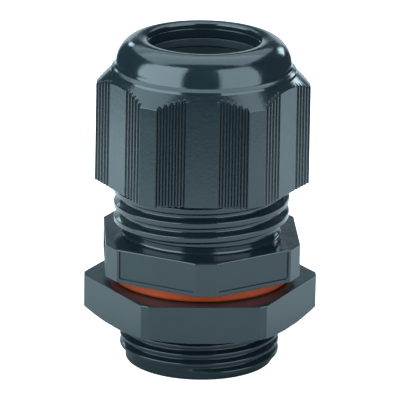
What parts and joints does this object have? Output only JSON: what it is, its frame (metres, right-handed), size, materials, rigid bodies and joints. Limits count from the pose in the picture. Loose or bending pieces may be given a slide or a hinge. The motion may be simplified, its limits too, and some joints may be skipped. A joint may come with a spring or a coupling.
{
  "type": "cable gland",
  "caption": "Plastic cable gland with entry thread, lock nut, flange gasket, hexagon body and a domed cap nut that closes clamp fingers round a rubber seal.",
  "frame": {"origin": "centre of the end of the entry thread, the lowest face", "axes": "+Z along the gland's axis, from the entry thread to the cable opening; -Y is the front, the flat of the cap nut that faces the viewer"},
  "size_m": [0.0364, 0.0332, 0.0519],
  "materials": {
    "body_plastic": "moulded polyamide, dark slate, glossy",
    "cage_plastic": "moulded polyamide, dark, satin",
    "seal_rubber": "smooth dark rubber",
    "gasket_rubber": "orange-red rubber"
  },
  "bodies": {
    "body": {"gland_body": "body_plastic", "clamp_ring": "cage_plastic"},
    "seal": {"sealing_insert": "seal_rubber"},
    "cap": {"cap_nut": "body_plastic"},
    "gasket": {"flange_gasket": "gasket_rubber"},
    "lock_nut": {"lock_nut": "body_plastic"},
    "finger_01": {"clamp_finger_01": "cage_plastic"},
    "finger_02": {"clamp_finger_02": "cage_plastic"},
    "finger_03": {"clamp_finger_03": "cage_plastic"},
    "finger_04": {"clamp_finger_04": "cage_plastic"},
    "finger_05": {"clamp_finger_05": "cage_plastic"},
    "finger_06": {"clamp_finger_06": "cage_plastic"},
    "finger_07": {"clamp_finger_07": "cage_plastic"},
    "finger_08": {"clamp_finger_08": "cage_plastic"},
    "finger_09": {"clamp_finger_09": "cage_plastic"},
    "finger_10": {"clamp_finger_10": "cage_plastic"},
    "finger_11": {"clamp_finger_11": "cage_plastic"},
    "finger_12": {"clamp_finger_12": "cage_plastic"},
    "finger_13": {"clamp_finger_13": "cage_plastic"},
    "finger_14": {"clamp_finger_14": "cage_plastic"}
  },
  "joints": [
    {"name": "cap_travel", "type": "slide", "parent": "body", "child": "seal", "axis": [0, 0, 1], "range_m": [-0.0082, 0.0046], "deforming": ["sealing_insert"]},
    {"name": "cap_turn", "type": "hinge", "parent": "seal", "child": "cap", "pos_m": [0, 0, 0.04], "axis": [0, 0, 1], "range_deg": [-1280, 690]},
    {"name": "gasket_travel", "type": "slide", "parent": "body", "child": "gasket", "axis": [0, 0, 1], "range_m": [-0.0131, 0]},
    {"name": "lock_nut_turn", "type": "hinge", "parent": "gasket", "child": "lock_nut", "pos_m": [0, 0, 0.0106], "axis": [0, 0, 1], "range_deg": [-3120, 0]},
    {"name": "finger_01_bend", "type": "hinge", "parent": "body", "child": "finger_01", "pos_m": [0.01107, 0.00253, 0.0343], "axis": [-0.2225, 0.9749, 0], "range_deg": [-11.2, 6.1]},
    {"name": "finger_02_bend", "type": "hinge", "parent": "body", "child": "finger_02", "pos_m": [0.00887, 0.00708, 0.0343], "axis": [-0.6235, 0.7818, 0], "range_deg": [-11.2, 6.1]},
    {"name": "finger_03_bend", "type": "hinge", "parent": "body", "child": "finger_03", "pos_m": [0.00492, 0.01023, 0.0343], "axis": [-0.901, 0.4339, 0], "range_deg": [-11.2, 6.1]},
    {"name": "finger_04_bend", "type": "hinge", "parent": "body", "child": "finger_04", "pos_m": [0, 0.01135, 0.0343], "axis": [-1, 0, 0], "range_deg": [-11.2, 6.1]},
    {"name": "finger_05_bend", "type": "hinge", "parent": "body", "child": "finger_05", "pos_m": [-0.00492, 0.01023, 0.0343], "axis": [-0.901, -0.4339, 0], "range_deg": [-11.2, 6.1]},
    {"name": "finger_06_bend", "type": "hinge", "parent": "body", "child": "finger_06", "pos_m": [-0.00887, 0.00708, 0.0343], "axis": [-0.6235, -0.7818, 0], "range_deg": [-11.2, 6.1]},
    {"name": "finger_07_bend", "type": "hinge", "parent": "body", "child": "finger_07", "pos_m": [-0.01107, 0.00253, 0.0343], "axis": [-0.2225, -0.9749, 0], "range_deg": [-11.2, 6.1]},
    {"name": "finger_08_bend", "type": "hinge", "parent": "body", "child": "finger_08", "pos_m": [-0.01107, -0.00253, 0.0343], "axis": [0.2225, -0.9749, 0], "range_deg": [-11.2, 6.1]},
    {"name": "finger_09_bend", "type": "hinge", "parent": "body", "child": "finger_09", "pos_m": [-0.00887, -0.00708, 0.0343], "axis": [0.6235, -0.7818, 0], "range_deg": [-11.2, 6.1]},
    {"name": "finger_10_bend", "type": "hinge", "parent": "body", "child": "finger_10", "pos_m": [-0.00492, -0.01023, 0.0343], "axis": [0.901, -0.4339, 0], "range_deg": [-11.2, 6.1]},
    {"name": "finger_11_bend", "type": "hinge", "parent": "body", "child": "finger_11", "pos_m": [0, -0.01135, 0.0343], "axis": [1, 0, 0], "range_deg": [-11.2, 6.1]},
    {"name": "finger_12_bend", "type": "hinge", "parent": "body", "child": "finger_12", "pos_m": [0.00492, -0.01023, 0.0343], "axis": [0.901, 0.4339, 0], "range_deg": [-11.2, 6.1]},
    {"name": "finger_13_bend", "type": "hinge", "parent": "body", "child": "finger_13", "pos_m": [0.00887, -0.00708, 0.0343], "axis": [0.6235, 0.7818, 0], "range_deg": [-11.2, 6.1]},
    {"name": "finger_14_bend", "type": "hinge", "parent": "body", "child": "finger_14", "pos_m": [0.01107, -0.00253, 0.0343], "axis": [0.2225, 0.9749, 0], "range_deg": [-11.2, 6.1]}
  ],
  "couplings": [
    {"joint": "cap_travel", "follows": "cap_turn", "m_per_rad": 0.00036606},
    {"joint": "gasket_travel", "follows": "lock_nut_turn", "m_per_rad": 0.00023873},
    {"joint": "finger_01_bend", "follows": "cap_turn", "ratio": 0.0086},
    {"joint": "finger_02_bend", "follows": "cap_turn", "ratio": 0.0086},
    {"joint": "finger_03_bend", "follows": "cap_turn", "ratio": 0.0086},
    {"joint": "finger_04_bend", "follows": "cap_turn", "ratio": 0.0086},
    {"joint": "finger_05_bend", "follows": "cap_turn", "ratio": 0.0086},
    {"joint": "finger_06_bend", "follows": "cap_turn", "ratio": 0.0086},
    {"joint": "finger_07_bend", "follows": "cap_turn", "ratio": 0.0086},
    {"joint": "finger_08_bend", "follows": "cap_turn", "ratio": 0.0086},
    {"joint": "finger_09_bend", "follows": "cap_turn", "ratio": 0.0086},
    {"joint": "finger_10_bend", "follows": "cap_turn", "ratio": 0.0086},
    {"joint": "finger_11_bend", "follows": "cap_turn", "ratio": 0.0086},
    {"joint": "finger_12_bend", "follows": "cap_turn", "ratio": 0.0086},
    {"joint": "finger_13_bend", "follows": "cap_turn", "ratio": 0.0086},
    {"joint": "finger_14_bend", "follows": "cap_turn", "ratio": 0.0086}
  ]
}
